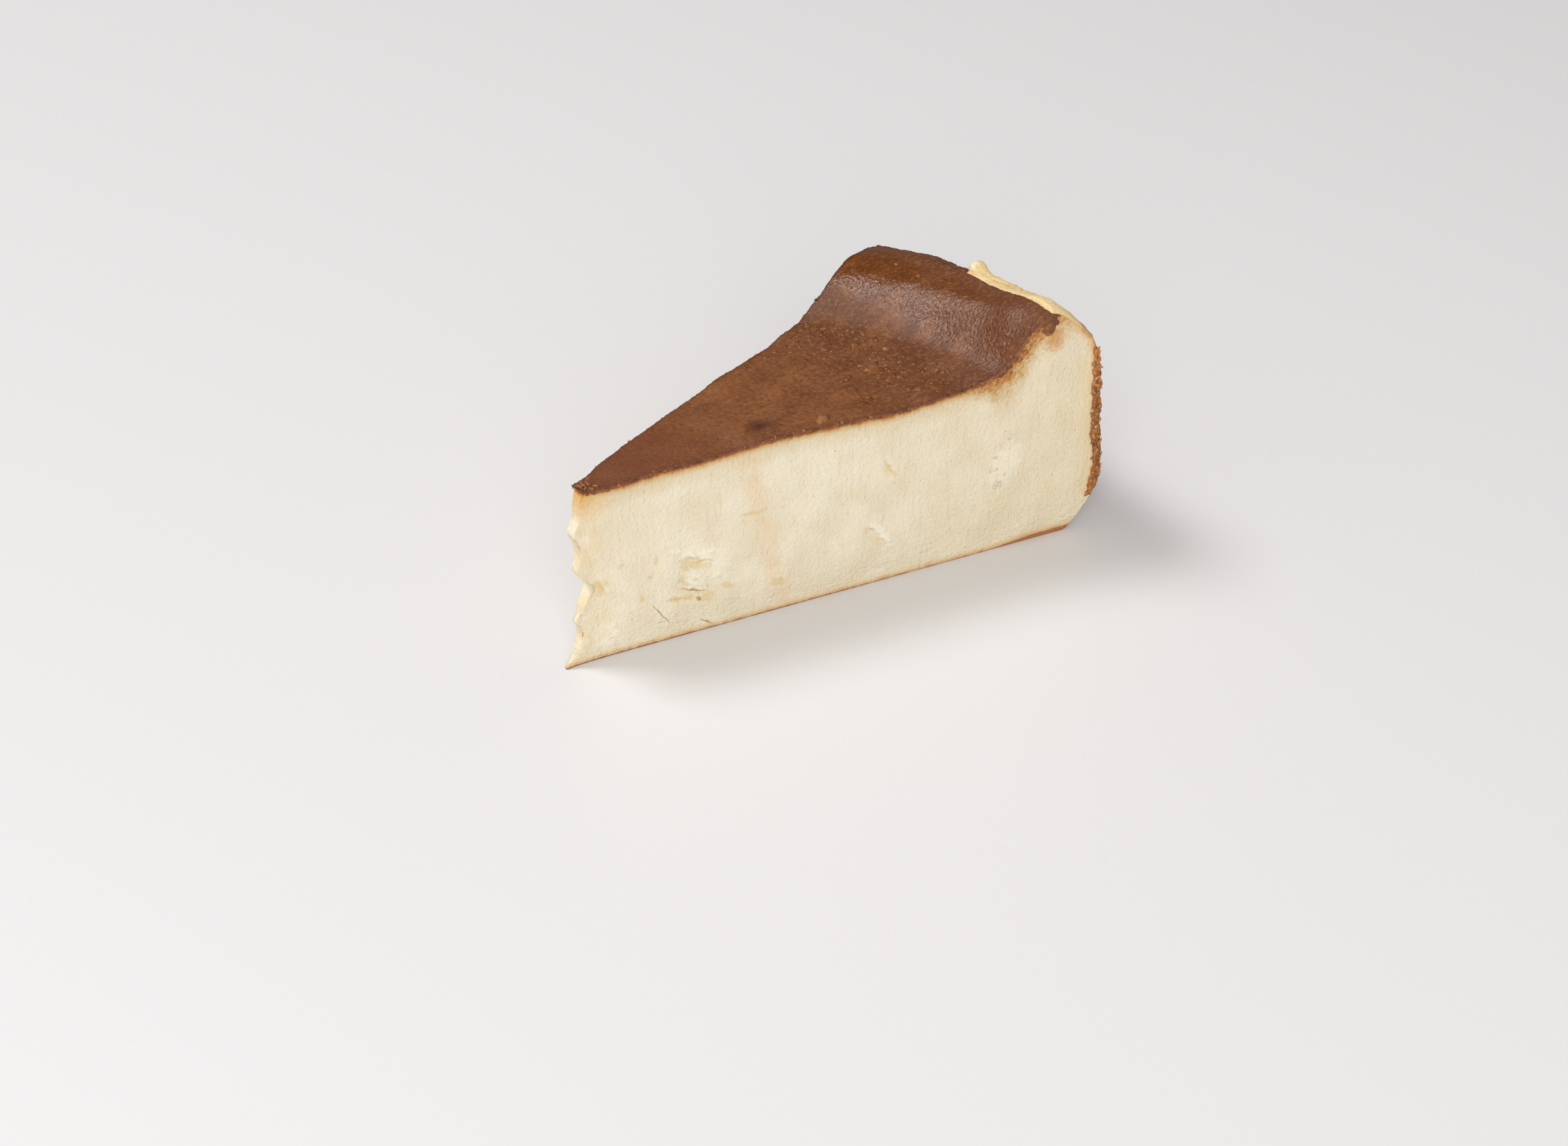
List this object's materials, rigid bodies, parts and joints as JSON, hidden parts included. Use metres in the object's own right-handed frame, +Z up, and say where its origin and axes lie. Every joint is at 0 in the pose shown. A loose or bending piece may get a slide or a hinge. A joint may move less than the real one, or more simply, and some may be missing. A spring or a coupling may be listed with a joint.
{
  "type": "basque burnt cheesecake slice",
  "caption": "Wedge slice of burnt basque cheesecake with a dark glossy skin, a raised rim, a crumbly browned side and pale creamy cut faces.",
  "frame": {"origin": "middle of the bounding box of the base the slice stands on", "axes": "+Z up, +Y from the tip towards the rim along the middle of the wedge, +X towards the cut that faces the camera in the picture"},
  "size_m": [0.0638, 0.1184, 0.0538],
  "materials": {
    "baked_cream": "soft, moist and matte, pale ivory cream",
    "burnt_skin": "semi-gloss baked skin, caramel to dark brown"
  },
  "bodies": {
    "root": {"cheesecake_slice": "baked_cream"}
  },
  "joints": []
}
